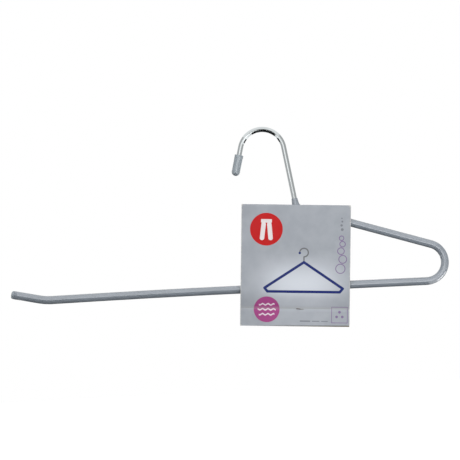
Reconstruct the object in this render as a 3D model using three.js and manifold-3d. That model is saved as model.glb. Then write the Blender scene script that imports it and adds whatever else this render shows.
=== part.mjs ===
// Open-ended non-slip trouser hanger with its folded card, in millimetres, +Z up.
// X runs along the bar with the closed nose at +X, and the front faces -Y.
// The origin is the saddle: the inner top of the hook, where a rail carries the hanger.
import * as THREE from "three";
import { mergeVertices } from "three/addons/utils/BufferGeometryUtils.js";
import Module from "manifold-3d";

const wasm = await Module();
wasm.setup();

const degrees = THREE.MathUtils.degToRad;

// Wire, sleeve and the clearances between pieces
const wireDiameter = 4.5;
const sleeveDiameter = 6.8;
const boreClearance = 0.1;
const seatGap = 0.3;

// Hook: the crown is round, and the tip leg and the shank lean outwards below it
const hookInnerDiameter = 32.5;
const tipLegLean = degrees(14);
const tipLegLength = 22.15;
const shankLean = degrees(8.9);
const shankLength = 52.95;

// Frame: shoulder bend, arm, nose, bar and the kicked-up end, on the wire's centreline
const shoulderRadius = 7;
const armSlope = degrees(17.84);
const armLength = 117.6;
const noseRadius = 15.9;
const barLength = 322.9;
const kickRadius = 50;
const kickAngle = degrees(12.4);
const kickLength = 27.2;

// Sleeve and caps
const sleeveRise = 8.6;
const mouthDiameter = 5.1;
const mouthTaperLength = 12;
const tipCapLength = 18;
const tipCapMouthDiameter = 7.4;
const tipCapEndDiameter = 7;
const tipCapDome = 3;
const tipCapWall = 2.4;
const plugHeadDiameter = 7;
const plugHeadLength = 0.5;
const plugDome = 1.7;
const plugStemLength = 5;

// Card: one strip folded over the shoulder and drawn together under the bar
const boardThickness = 0.45;
const cardWidth = 92.3;
const cardTurn = degrees(3.65);
const spineRounding = 1.1;
const channelClearance = 0.4;
const bulgeClearance = 1.2;
const slotLength = 11;
const slotClearance = 0.1;
const creaseDrop = 17.6;
const pinchHeight = 16;
const frontPinchEase = 9;
const backPinchEase = 6;
const creaseHalfGap = 0.6;
const creaseForward = 1.2;
const frontFlapLength = 14.4;
const backFlapExtra = 0.6;

// Staple
const stapleWire = 0.5;
const stapleWidth = 6.5;
const stapleLegGap = 0.8;
const stapleBend = 0.5;
const stapleOffset = 4.3;

// Smoothness of round sections, bends and outlines
const roundSides = 16;
const bendStep = degrees(10);
const outlineSegments = 5;
const domeSteps = 4;
const cutOverrun = 1;

// Values worked out from the driving sizes
const wireRadius = wireDiameter / 2;
const sleeveRadius = sleeveDiameter / 2;
const mouthRadius = mouthDiameter / 2;
const boreRadius = wireRadius + boreClearance;
const crownRadius = hookInnerDiameter / 2 + wireRadius;
const crownCentreZ = -hookInnerDiameter / 2;
const rightAngle = Math.PI / 2;
const crownTurn = Math.PI - tipLegLean - shankLean;
const shoulderTurn = rightAngle - shankLean - armSlope;
const shoulderTangent = shoulderRadius * Math.tan(shoulderTurn / 2);
const kickTangent = kickRadius * Math.tan(kickAngle / 2);
const shoulder = {
  x: crownRadius * Math.cos(shankLean) + shankLength * Math.sin(shankLean),
  z: crownCentreZ + crownRadius * Math.sin(shankLean) - shankLength * Math.cos(shankLean),
};
const noseTopZ = shoulder.z - armLength * Math.sin(armSlope);
const barZ = noseTopZ - noseRadius * (Math.cos(armSlope) + 1);

// A route in the XZ plane: a place and a heading, carried on by straights and bends
class Route {
  constructor(x, z, heading) {
    this.x = x;
    this.z = z;
    this.heading = heading;
    this.run = 0;
    this.stations = [];
    this.mark();
  }

  mark() {
    this.stations.push({
      point: new THREE.Vector3(this.x, 0, this.z),
      tangent: new THREE.Vector3(Math.cos(this.heading), 0, Math.sin(this.heading)),
      run: this.run,
    });
  }

  straight(length) {
    this.x += length * Math.cos(this.heading);
    this.z += length * Math.sin(this.heading);
    this.run += length;
    this.mark();
    return this;
  }

  // A positive turn goes to the left of the heading
  bend(radius, turn) {
    const steps = Math.max(2, Math.ceil(Math.abs(turn) / bendStep));
    const reach = radius * Math.sign(turn);
    const centreX = this.x - reach * Math.sin(this.heading);
    const centreZ = this.z + reach * Math.cos(this.heading);
    for (let step = 0; step < steps; step += 1) {
      this.heading += turn / steps;
      this.x = centreX + reach * Math.sin(this.heading);
      this.z = centreZ - reach * Math.cos(this.heading);
      this.run += (radius * Math.abs(turn)) / steps;
      this.mark();
    }
    return this;
  }

  last() {
    return this.stations[this.stations.length - 1];
  }
}

// The curve of a route, with a station only where a straight or a bend step ends
class StationCurve extends THREE.Curve {
  constructor(stations) {
    super();
    this.stations = stations;
  }

  getUtoTmapping(u) {
    return u;
  }

  getPoint(t, target = new THREE.Vector3()) {
    const spans = this.stations.length - 1;
    const index = Math.min(Math.floor(t * spans), spans - 1);
    const from = this.stations[index].point;
    const to = this.stations[index + 1].point;
    return target.lerpVectors(from, to, t * spans - index);
  }

  getTangent(t, target = new THREE.Vector3()) {
    const index = Math.round(t * (this.stations.length - 1));
    return target.copy(this.stations[index].tangent);
  }
}

// Round sections have flats that touch the true circle, one of them facing up
const cornerReach = 1 / Math.cos(Math.PI / roundSides);
const firstCorner = Math.PI / roundSides;

function roundSection(radius) {
  const corner = radius * cornerReach;
  const shape = new THREE.Shape();
  for (let side = 0; side < roundSides; side += 1) {
    const angle = firstCorner + (side / roundSides) * Math.PI * 2;
    const draw = side === 0 ? "moveTo" : "lineTo";
    shape[draw](corner * Math.cos(angle), corner * Math.sin(angle));
  }
  shape.closePath();
  return shape;
}

function sweep(section, route) {
  return new THREE.ExtrudeGeometry(section, {
    steps: route.stations.length - 1,
    extrudePath: new StationCurve(route.stations),
  });
}

// Shoulder, arm, nose, bar and kick, from a place on the shank to one near the bar's end
function followFrame(route, shankPart, kickPart) {
  return route
    .straight(shankPart - shoulderTangent)
    .bend(shoulderRadius, shoulderTurn)
    .straight(armLength - shoulderTangent)
    .bend(noseRadius, armSlope - Math.PI)
    .straight(barLength - kickTangent)
    .bend(kickRadius, -kickAngle)
    .straight(kickPart - kickTangent);
}

function wireRoute() {
  const legTopX = -crownRadius * Math.cos(tipLegLean);
  const legTopZ = crownCentreZ + crownRadius * Math.sin(tipLegLean);
  const tipX = legTopX - tipLegLength * Math.sin(tipLegLean);
  const tipZ = legTopZ - tipLegLength * Math.cos(tipLegLean);
  const route = new Route(tipX, tipZ, rightAngle - tipLegLean);
  route.straight(tipLegLength).bend(crownRadius, -crownTurn);
  return followFrame(route, shankLength, kickLength - plugStemLength - seatGap);
}

// The sleeve's mouth has a station halfway to the shoulder bend, for its taper
function sleeveRoute() {
  const topX = shoulder.x - sleeveRise * Math.sin(shankLean);
  const topZ = shoulder.z + sleeveRise * Math.cos(shankLean);
  const route = new Route(topX, topZ, shankLean - rightAngle);
  const mouthPart = (sleeveRise - shoulderTangent) / 2;
  route.straight(mouthPart);
  return followFrame(route, sleeveRise - mouthPart, kickLength);
}

const wirePath = wireRoute();
const sleevePath = sleeveRoute();

// Bent steel wire: hook, shank, arm, nose and bar in one piece
function steelWireShape() {
  return sweep(roundSection(wireRadius), wirePath);
}

// A closed skin through rings, each a station of a route with a radius, last joined to first
function ringSkin(rings) {
  const front = new THREE.Vector3(0, -1, 0);
  const positions = [];
  const corners = [];
  rings.forEach(({ station, radius }, ring) => {
    const across = new THREE.Vector3(-station.tangent.z, 0, station.tangent.x);
    const nextRing = (ring + 1) % rings.length;
    for (let side = 0; side < roundSides; side += 1) {
      const angle = firstCorner + (side / roundSides) * Math.PI * 2;
      const corner = station.point
        .clone()
        .addScaledVector(across, radius * cornerReach * Math.cos(angle))
        .addScaledVector(front, radius * cornerReach * Math.sin(angle));
      positions.push(...corner.toArray());
      const nextSide = (side + 1) % roundSides;
      const here = ring * roundSides;
      const there = nextRing * roundSides;
      corners.push(here + side, here + nextSide, there + nextSide);
      corners.push(here + side, there + nextSide, there + side);
    }
  });
  const geometry = new THREE.BufferGeometry();
  geometry.setAttribute("position", new THREE.Float32BufferAttribute(positions, 3));
  geometry.setIndex(corners);
  geometry.computeVertexNormals();
  return geometry;
}

// The sleeve is drawn thin at its mouth and widens to its full size down the shank
function sleeveRadiusAt(run) {
  const thinShare = Math.max(0, 1 - run / mouthTaperLength);
  return sleeveRadius - (sleeveRadius - mouthRadius) * thinShare * thinShare;
}

// Grip sleeve: one soft tube from the shank to the end of the bar
function gripSleeveShape() {
  const { stations } = sleevePath;
  const outside = stations.map((station) => ({ station, radius: sleeveRadiusAt(station.run) }));
  const bore = stations.map((station) => ({ station, radius: boreRadius }));
  return ringSkin([...outside, ...bore.reverse()]);
}

// A turned piece, from a list of radii and heights along its axis
function turned(profile) {
  const points = profile.map(([radius, height]) => new THREE.Vector2(radius * cornerReach, height));
  return new THREE.LatheGeometry(points, roundSides, firstCorner);
}

// Half a dome of a turned profile, from its rim to its top on the axis
function domePoints(rimRadius, rimY, height) {
  const points = [];
  for (let step = 1; step < domeSteps; step += 1) {
    const angle = (step / domeSteps) * rightAngle;
    points.push([rimRadius * Math.cos(angle), rimY + height * Math.sin(angle)]);
  }
  points.push([0, rimY + height]);
  return points;
}

// Tip cap: a thick soft cup, closed at +Y, with the wire's end in its bore
function tipCapShape() {
  const mouthRadius = tipCapMouthDiameter / 2;
  const endRadius = tipCapEndDiameter / 2;
  const bodyLength = tipCapLength - tipCapDome;
  return turned([
    [0, tipCapLength - tipCapWall],
    [boreRadius, tipCapLength - tipCapWall],
    [boreRadius, 0],
    [mouthRadius, 0],
    [endRadius, bodyLength],
    ...domePoints(endRadius, bodyLength, tipCapDome),
  ]);
}

// End plug: a low domed head over the sleeve's end, with a stem in its bore
function endPlugShape() {
  const headRadius = plugHeadDiameter / 2;
  return turned([
    [0, -plugStemLength],
    [wireRadius, -plugStemLength],
    [wireRadius, seatGap],
    [headRadius, seatGap],
    [headRadius, plugHeadLength],
    ...domePoints(headRadius, plugHeadLength, plugDome),
  ]);
}

// The card's own frame: its origin is the middle of the spine's top, X runs along the spine
const channelHalfWidth = sleeveRadius + channelClearance;
const bulgeHalfWidth = sleeveRadius + bulgeClearance;

// The slot's right end sits just above the arm's sleeve, next to the shoulder bend
function cardPlace() {
  const slotEndX = (slotLength / 2) * Math.cos(cardTurn) - boardThickness * Math.sin(cardTurn);
  const slotEndZ = (slotLength / 2) * Math.sin(cardTurn) + boardThickness * Math.cos(cardTurn);
  const armCentreZ = shoulder.z - slotEndX * Math.tan(armSlope);
  const restZ = armCentreZ + (sleeveRadius + seatGap) / Math.cos(armSlope);
  return new THREE.Vector3(shoulder.x, 0, restZ + slotEndZ);
}

const cardOrigin = cardPlace();
const creaseZ = -((cardOrigin.z - barZ) / Math.cos(cardTurn) + creaseDrop);
const stapleHole = stapleWire + seatGap * 2;
const stapleZ = creaseZ - stapleHole / 2;
const stapleLegX = (stapleWidth - stapleWire) / 2;

// One outline down the front, round both flaps and up the back, with the board's thickness
function cardOutline() {
  const rounding = spineRounding - boardThickness;
  const pinchZ = creaseZ + pinchHeight;
  const frontEaseZ = creaseZ + frontPinchEase;
  const backEaseZ = creaseZ + backPinchEase;
  const frontZ = creaseZ - frontFlapLength;
  const backZ = frontZ - backFlapExtra;
  const inner = {
    spine: channelHalfWidth,
    bulge: bulgeHalfWidth,
    front: creaseForward + creaseHalfGap,
    back: creaseHalfGap - creaseForward,
  };
  const outer = {
    spine: inner.spine + boardThickness,
    bulge: inner.bulge + boardThickness,
    front: inner.front + boardThickness,
    back: inner.back + boardThickness,
  };
  const shape = new THREE.Shape();
  shape.moveTo(-outer.spine + spineRounding, 0);
  shape.quadraticCurveTo(-outer.spine, 0, -outer.spine, -spineRounding);
  shape.lineTo(-outer.bulge, pinchZ);
  shape.quadraticCurveTo(-outer.bulge, frontEaseZ, -outer.front, creaseZ);
  shape.lineTo(-outer.front, frontZ);
  shape.lineTo(-inner.front, frontZ);
  shape.lineTo(-inner.front, creaseZ);
  shape.quadraticCurveTo(-inner.bulge, frontEaseZ, -inner.bulge, pinchZ);
  shape.lineTo(-inner.spine, -spineRounding);
  shape.quadraticCurveTo(-inner.spine, -boardThickness, -inner.spine + rounding, -boardThickness);
  shape.lineTo(inner.spine - rounding, -boardThickness);
  shape.quadraticCurveTo(inner.spine, -boardThickness, inner.spine, -spineRounding);
  shape.lineTo(inner.bulge, pinchZ);
  shape.quadraticCurveTo(inner.bulge, backEaseZ, inner.back, creaseZ);
  shape.lineTo(inner.back, backZ);
  shape.lineTo(outer.back, backZ);
  shape.lineTo(outer.back, creaseZ);
  shape.quadraticCurveTo(outer.bulge, backEaseZ, outer.bulge, pinchZ);
  shape.lineTo(outer.spine, -spineRounding);
  shape.quadraticCurveTo(outer.spine, 0, outer.spine - spineRounding, 0);
  return shape;
}

// A closed geometry as a solid that can be cut, and back
function toSolid(geometry) {
  const bare = geometry.clone();
  bare.deleteAttribute("normal");
  bare.deleteAttribute("uv");
  const merged = mergeVertices(bare);
  const vertProperties = merged.attributes.position.array;
  const triVerts = new Uint32Array(merged.index.array);
  return new wasm.Manifold(new wasm.Mesh({ numProp: 3, vertProperties, triVerts }));
}

function fromSolid(solid) {
  const mesh = solid.getMesh();
  const geometry = new THREE.BufferGeometry();
  geometry.setAttribute("position", new THREE.BufferAttribute(mesh.vertProperties, 3));
  geometry.setIndex(new THREE.BufferAttribute(mesh.triVerts, 1));
  geometry.computeVertexNormals();
  return geometry;
}

// The outline's plane becomes YZ, and its depth runs along X
function alongX(shape, length) {
  const geometry = new THREE.ExtrudeGeometry(shape, {
    depth: length,
    bevelEnabled: false,
    curveSegments: outlineSegments,
  });
  const across = new THREE.Vector3(0, 1, 0);
  const up = new THREE.Vector3(0, 0, 1);
  const along = new THREE.Vector3(1, 0, 0);
  geometry.translate(0, 0, -length / 2);
  return geometry.applyMatrix4(new THREE.Matrix4().makeBasis(across, up, along));
}

// The slot in the spine for the neck, and the two holes for the staple's legs
function cardCuts() {
  const slotDepth = spineRounding + cutOverrun;
  const slotWidth = (sleeveRadius + slotClearance) * 2;
  const slot = new THREE.BoxGeometry(slotLength, slotWidth, slotDepth);
  slot.translate(0, 0, (cutOverrun - spineRounding) / 2);
  const holeDepth = (creaseHalfGap + boardThickness + cutOverrun) * 2;
  const holes = [-1, 1].map((side) => {
    const hole = new THREE.BoxGeometry(stapleHole, holeDepth, stapleHole);
    return hole.translate(stapleOffset + side * stapleLegX, -creaseForward, stapleZ);
  });
  return [slot, ...holes];
}

function cardShape() {
  const strip = toSolid(alongX(cardOutline(), cardWidth));
  const cut = cardCuts().reduce((solid, tool) => solid.subtract(toSolid(tool)), strip);
  return fromSolid(cut);
}

// Staple: crown in front, legs through the card and folded in behind it
function stapleRoute() {
  const depth = (creaseHalfGap + boardThickness + seatGap) * 2 + stapleWire;
  const clinch = stapleLegX - stapleLegGap / 2;
  const route = new Route(-stapleLegGap / 2, depth / 2, Math.PI);
  return route
    .straight(clinch - stapleBend)
    .bend(stapleBend, rightAngle)
    .straight(depth - stapleBend * 2)
    .bend(stapleBend, rightAngle)
    .straight((stapleLegX - stapleBend) * 2)
    .bend(stapleBend, rightAngle)
    .straight(depth - stapleBend * 2)
    .bend(stapleBend, rightAngle)
    .straight(clinch - stapleBend);
}

function stapleShape() {
  const half = stapleWire / 2;
  const section = new THREE.Shape();
  section.moveTo(-half, -half);
  section.lineTo(half, -half);
  section.lineTo(half, half);
  section.lineTo(-half, half);
  section.closePath();
  return sweep(section, stapleRoute());
}

// Materials
const finishes = {
  chromedSteel: new THREE.MeshStandardMaterial({ color: 0xc9ced2, roughness: 0.15, metalness: 1 }),
  greyVinyl: new THREE.MeshStandardMaterial({ color: 0x7d868f, roughness: 0.55, metalness: 0 }),
  silverCard: new THREE.MeshStandardMaterial({ color: 0xa6aab1, roughness: 0.5, metalness: 0 }),
  stapleSteel: new THREE.MeshStandardMaterial({ color: 0x8a8078, roughness: 0.4, metalness: 1 }),
};

function namedMesh(name, geometry, material) {
  const mesh = new THREE.Mesh(geometry, material);
  mesh.name = name;
  return mesh;
}

// A turned piece with its axis along a route's heading, its flats in line with the tube's
function turnedOn(mesh, station, reach, sense) {
  const axis = station.tangent.clone().multiplyScalar(sense);
  const front = new THREE.Vector3(0, -1, 0);
  const side = new THREE.Vector3().crossVectors(axis, front);
  mesh.quaternion.setFromRotationMatrix(new THREE.Matrix4().makeBasis(side, axis, front));
  mesh.position.copy(station.point).addScaledVector(axis, reach);
  return mesh;
}

function hangerGroup() {
  const group = new THREE.Group();
  const tipCap = namedMesh("hook_tip_cap", tipCapShape(), finishes.greyVinyl);
  const endPlug = namedMesh("bar_end_plug", endPlugShape(), finishes.greyVinyl);
  const capReach = tipCapWall + seatGap - tipCapLength;
  group.add(
    namedMesh("steel_wire", steelWireShape(), finishes.chromedSteel),
    namedMesh("grip_sleeve", gripSleeveShape(), finishes.greyVinyl),
    turnedOn(tipCap, wirePath.stations[0], capReach, -1),
    turnedOn(endPlug, sleevePath.last(), 0, 1),
  );
  return group;
}

function cardGroup() {
  const group = new THREE.Group();
  const staple = namedMesh("card_staple", stapleShape(), finishes.stapleSteel);
  staple.rotation.x = -rightAngle;
  staple.position.set(stapleOffset, -creaseForward, stapleZ);
  group.add(namedMesh("folded_card", cardShape(), finishes.silverCard), staple);
  group.position.copy(cardOrigin);
  group.rotation.y = cardTurn;
  return group;
}

const hanger = new THREE.Group();
hanger.add(hangerGroup(), cardGroup());

export default hanger;
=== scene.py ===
"""Studio picture of an open-ended non-slip hanger with its folded card.

Sizes are in millimetres and MM turns them into metres. X runs along the bar, the front faces -Y,
and the origin is the inner top of the hook, where a rail carries the hanger.
"""

import math

import bmesh
import bpy
import numpy as np
from mathutils import Matrix, Vector, noise


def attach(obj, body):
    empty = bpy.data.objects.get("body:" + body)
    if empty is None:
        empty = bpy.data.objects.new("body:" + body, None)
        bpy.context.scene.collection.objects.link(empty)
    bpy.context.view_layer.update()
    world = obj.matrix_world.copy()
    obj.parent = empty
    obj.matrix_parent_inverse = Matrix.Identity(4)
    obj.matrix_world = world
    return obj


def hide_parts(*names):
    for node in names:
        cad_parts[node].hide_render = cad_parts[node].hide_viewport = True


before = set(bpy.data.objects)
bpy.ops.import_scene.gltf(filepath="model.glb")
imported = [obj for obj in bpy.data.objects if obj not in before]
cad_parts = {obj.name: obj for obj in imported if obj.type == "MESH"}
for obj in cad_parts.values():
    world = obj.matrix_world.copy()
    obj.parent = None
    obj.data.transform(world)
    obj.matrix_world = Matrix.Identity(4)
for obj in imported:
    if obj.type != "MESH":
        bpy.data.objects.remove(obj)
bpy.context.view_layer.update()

MM = 0.001
RIGHT_ANGLE = math.pi / 2
FULL_TURN = 2 * math.pi
TINY = 1e-6

# Wire: hook, shank, shoulder, arm, nose, bar and kick
WIRE_RADIUS = 2.25
WIRE_CHAMFER = 0.3
HOOK_INNER_RADIUS = 16.25
TIP_LEG_LEAN = math.radians(14)
TIP_LEG_LENGTH = 22.15
SHANK_LEAN = math.radians(8.9)
SHANK_LENGTH = 52.95
SHOULDER_RADIUS = 7
ARM_SLOPE = math.radians(17.84)
ARM_LENGTH = 117.6
NOSE_RADIUS = 15.9
BAR_LENGTH = 322.9
BAR_BOW = 0.8
BAR_BOW_SKEW = 1.33
KICK_RADIUS = 50
KICK_ANGLE = math.radians(12.4)
KICK_LENGTH = 27.2

# Sleeve: a soft tube, slightly uneven, with rounded lips
SLEEVE_RADIUS = 3.4
SLEEVE_DRAWN = 0.07
SLEEVE_GAIN = 0.0004
SLEEVE_BORE = 2.3
SLEEVE_RISE = 8.6
SLEEVE_MOUTH_RADIUS = 2.55
SLEEVE_TAPER = 12
SLEEVE_TAPER_STEPS = 8
MOUTH_LIP = 0.2
MOUTH_LIP_MARGIN = 0.1
END_LIP = 0.35
UNEVENNESS = 0.05
UNEVEN_LENGTH = 23.0
UNEVEN_ROUND = 0.8
UNEVEN_LEVEL = 0.6

# Clearance between a piece and its seat
SEAT_GAP = 0.3

# Tip cap: a soft cup with a rolled mouth and a blunt end
CAP_LENGTH = 18
CAP_MOUTH_RADIUS = 3.7
CAP_END_RADIUS = 3.5
CAP_DOME = 3
CAP_FULLNESS = 1.9
CAP_WALL = 2.4
CAP_LIP = 0.45
CAP_ROLL = 2.1
CAP_ROLL_END = 2.7
CAP_ROLL_SLACK = 0.02
CAP_WAIST_RADIUS = CAP_MOUTH_RADIUS - 0.1
CAP_STEPS = 6
CAP_BORE_CHAMFER = 0.3
CAP_BORE_FLARE = 0.2

# End plug: a low dome with its stem in the sleeve
PLUG_RADIUS = 3.45
PLUG_RIM = 0.25
PLUG_GAP = 0.02
PLUG_HEAD = 0.4
PLUG_DOME = 1.75
PLUG_STEM = 5

# Card, in its own frame: X along the spine, Z up, origin in the middle of the spine's top
BOARD = 0.45
CARD_WIDTH = 92.3
CARD_TURN = math.radians(3.65)
SPINE_ROUNDING = 1.1
CHANNEL_HALF = 3.8
BULGE_HALF = 4.45
SLOT_LENGTH = 11
SLOT_HALF = 3.5
CREASE_DROP = 17.6
PINCH_HEIGHT = 16
FRONT_PINCH_EASE = 9
BACK_PINCH_EASE = 6
CREASE_FORWARD = 1.2
FRONT_FLAP = 14.4
BACK_FLAP_EXTRA = 0.6
FLAP_LEFT_EXTRA = 0.55
FLAP_SKEW = 1.15
CORNER_RADIUS = SPINE_ROUNDING - BOARD / 2
SLOT_ANGLE = math.acos(1 - (CHANNEL_HALF + BOARD / 2 - SLOT_HALF) / CORNER_RADIUS)

# The card's softness: the crease opens away from the staple, and the panels drift and bow
STAPLED_GAP = 0.12
CREASE_OPENING = 0.75
CREASE_OPENING_REACH = 40
CREASE_OPENING_POWER = 1.3
CREASE_WAVE = 0.1
CREASE_WAVE_LENGTH = 14
CREASE_WAVE_SLICE = 3.1
LEFT_START = 20
LEFT_REACH = 24
LEFT_SETBACK = 0.9
DRIFT = 0.1
DRIFT_WIDTH = 33
DRIFT_HEIGHT = 38
DRIFT_SLICE = 4.7
PANEL_BOW = 0.12
FLAP_SPRING = 0.38
FLAP_SPRING_LEFT = 0.3
FLAP_SPRING_HEIGHT = 2.6
FLAP_SPREAD = 0.12

# Staple: flat wire, slightly tilted, clinched behind the card
STAPLE_OFFSET = 4.3
STAPLE_WIDTH = 6.5
STAPLE_WIRE = 0.5
STAPLE_BEND = 0.45
STAPLE_DEPTH = 2 * (STAPLED_GAP + BOARD) + STAPLE_WIRE * 0.9
STAPLE_END_GAP = 0.5
STAPLE_HALF_THICK = STAPLE_WIRE * 0.42
STAPLE_HALF_WIDE = STAPLE_WIRE * 0.7
STAPLE_SQUARENESS = 0.6
STAPLE_TILT = 0.07
STAPLE_DROP = 0.35

# Mesh density
STRAIGHT_STEP = 5.0
BEND_STEP = math.radians(3)
WIRE_SIDES = 40
SLEEVE_SIDES = 56
STAPLE_SIDES = 12
STAPLE_STRAIGHT_STEP = 0.8
STAPLE_BEND_STEP = math.radians(15)
CARD_COLUMNS = 75
STAPLE_COLUMNS = 19
STAPLE_COLUMNS_REACH = 9
CORNER_STEPS = 4
SPINE_ROWS = (-2.0, -1.0, 0.0, 1.0, 2.0)
PANEL_ROWS = 30
PANEL_ROWS_START = 1.5
PINCH_ROWS = 16
PINCH_ROWS_END = 2
CREASE_ROWS = 18
CREASE_ROWS_RISE = 1.5
FOLD_REACH = 3.6
FLAP_ROWS = 9

# Photograph: the camera looks square on, rolled by the hanger's tilt
PHOTO_PIXELS = 460
MM_PER_PIXEL = 0.845
ROLL = math.radians(2.91)
AIM_X = -30.52
AIM_Z = -81.26
CAMERA_DISTANCE = 2500
SENSOR_WIDTH = 36

# Places that follow from the sizes above
CROWN_RADIUS = HOOK_INNER_RADIUS + WIRE_RADIUS
CROWN_Z = -HOOK_INNER_RADIUS
SHOULDER_TURN = RIGHT_ANGLE - SHANK_LEAN - ARM_SLOPE
SHOULDER_TANGENT = SHOULDER_RADIUS * math.tan(SHOULDER_TURN / 2)
KICK_TANGENT = KICK_RADIUS * math.tan(KICK_ANGLE / 2)
SHOULDER_X = CROWN_RADIUS * math.cos(SHANK_LEAN) + SHANK_LENGTH * math.sin(SHANK_LEAN)
SHOULDER_Z = CROWN_Z + CROWN_RADIUS * math.sin(SHANK_LEAN) - SHANK_LENGTH * math.cos(SHANK_LEAN)
BAR_Z = SHOULDER_Z - ARM_LENGTH * math.sin(ARM_SLOPE) - NOSE_RADIUS * (math.cos(ARM_SLOPE) + 1)


class Path:
    """A flat route in the XZ plane, in millimetres, with a place and a heading at any length."""

    def __init__(self, x, z, heading):
        self.x, self.z, self.heading = x, z, heading
        self.length = 0.0
        self.parts = []
        self.bowed = (math.inf, 1.0)

    def straight(self, length):
        self.parts.append((self.length, length, self.x, self.z, self.heading, 0.0))
        self.x += length * math.cos(self.heading)
        self.z += length * math.sin(self.heading)
        self.length += length
        return self

    def bend(self, radius, turn):
        length = radius * abs(turn)
        bending = turn / length
        self.parts.append((self.length, length, self.x, self.z, self.heading, bending))
        self.x += (math.sin(self.heading + turn) - math.sin(self.heading)) / bending
        self.z -= (math.cos(self.heading + turn) - math.cos(self.heading)) / bending
        self.heading += turn
        self.length += length
        return self

    def at(self, s):
        """Place and tangent at length s, which may lie past either end."""
        part = self.parts[0]
        for candidate in self.parts:
            if s >= candidate[0]:
                part = candidate
        start, _, x, z, heading, bending = part
        run = s - start
        if bending:
            turned = heading + run * bending
            x += (math.sin(turned) - math.sin(heading)) / bending
            z -= (math.cos(turned) - math.cos(heading)) / bending
            heading = turned
        else:
            x += run * math.cos(heading)
            z += run * math.sin(heading)
        place = np.array([x, 0.0, z + self.bow(s)])
        return place, np.array([math.cos(heading), 0.0, math.sin(heading)])

    def bow(self, s):
        """How far the hand-bent bar lies above a straight line at length s."""
        share = (s - self.bowed[0]) / self.bowed[1]
        return BAR_BOW * math.sin(math.pi * share**BAR_BOW_SKEW) if 0 < share < 1 else 0.0

    def stops(self, low, high, straight_step, bend_step):
        """Lengths between low and high, closer together in the bends."""
        marks = [low, high]
        for start, length, _, _, _, bending in self.parts:
            step = bend_step / abs(bending) if bending else straight_step
            count = max(1, math.ceil(length / step))
            marks += [start + length * k / count for k in range(count + 1)]
        kept = sorted(s for s in marks if low <= s <= high)
        return [s for k, s in enumerate(kept) if k == 0 or s - kept[k - 1] > TINY]


def follow_frame(path, shank_part, kick_part):
    """Shoulder, arm, nose, bar and kick."""
    path.straight(shank_part - SHOULDER_TANGENT).bend(SHOULDER_RADIUS, SHOULDER_TURN)
    path.straight(ARM_LENGTH - SHOULDER_TANGENT).bend(NOSE_RADIUS, ARM_SLOPE - math.pi)
    path.bowed = (path.length, BAR_LENGTH - KICK_TANGENT)
    path.straight(BAR_LENGTH - KICK_TANGENT).bend(KICK_RADIUS, -KICK_ANGLE)
    return path.straight(kick_part - KICK_TANGENT)


def wire_path():
    """The wire's middle line from the hook's tip to its end in the sleeve."""
    leg_x = -CROWN_RADIUS * math.cos(TIP_LEG_LEAN) - TIP_LEG_LENGTH * math.sin(TIP_LEG_LEAN)
    leg_z = CROWN_RADIUS * math.sin(TIP_LEG_LEAN) - TIP_LEG_LENGTH * math.cos(TIP_LEG_LEAN)
    path = Path(leg_x, CROWN_Z + leg_z, RIGHT_ANGLE - TIP_LEG_LEAN)
    path.straight(TIP_LEG_LENGTH).bend(CROWN_RADIUS, TIP_LEG_LEAN + SHANK_LEAN - math.pi)
    return follow_frame(path, SHANK_LENGTH, KICK_LENGTH - PLUG_STEM - SEAT_GAP)


def sleeve_path():
    """The sleeve's middle line from its mouth on the shank to the bar's end."""
    top_x = SHOULDER_X - SLEEVE_RISE * math.sin(SHANK_LEAN)
    top_z = SHOULDER_Z + SLEEVE_RISE * math.cos(SHANK_LEAN)
    path = Path(top_x, top_z, SHANK_LEAN - RIGHT_ANGLE)
    return follow_frame(path, SLEEVE_RISE, KICK_LENGTH)


WIRE = wire_path()
SLEEVE = sleeve_path()


def link_object(name, data, place=(0, 0, 0), turn=(0, 0, 0)):
    made = bpy.data.objects.new(name, data)
    made.location = [c * MM for c in place]
    made.rotation_euler = turn
    bpy.context.scene.collection.objects.link(made)
    return made


def to_object(name, points, faces):
    """A smooth mesh object from points in millimetres."""
    mesh = bpy.data.meshes.new(name)
    mesh.from_pydata([tuple(float(c) * MM for c in p) for p in points], [], faces)
    mesh.validate()
    for polygon in mesh.polygons:
        polygon.use_smooth = True
    return link_object(name, mesh)


def store_vector(made, name, values):
    """Keeps one vector in metres for each vertex, for the material's nodes to read."""
    layer = made.data.attributes.new(name, "FLOAT_VECTOR", "POINT")
    flat = (np.asarray(values, dtype=np.float32) * MM).ravel()
    layer.data.foreach_set("vector", flat)


def turn_faces_out(made):
    """Makes every face of a closed piece point outwards."""
    work = bmesh.new()
    work.from_mesh(made.data)
    bmesh.ops.recalc_face_normals(work, faces=work.faces)
    work.to_mesh(made.data)
    work.free()


def ring_faces(rings, closed=False):
    """Faces between rings of point numbers. A ring of one point is a tip."""
    faces = []
    pairs = list(zip(rings, rings[1:]))
    if closed:
        pairs.append((rings[-1], rings[0]))
    for near, far in pairs:
        sides = max(len(near), len(far))
        for k in range(sides):
            after = (k + 1) % sides
            if len(near) == 1:
                faces.append((near[0], far[after], far[k]))
            elif len(far) == 1:
                faces.append((near[k], near[after], far[0]))
            else:
                faces.append((near[k], near[after], far[after], far[k]))
    return faces


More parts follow.
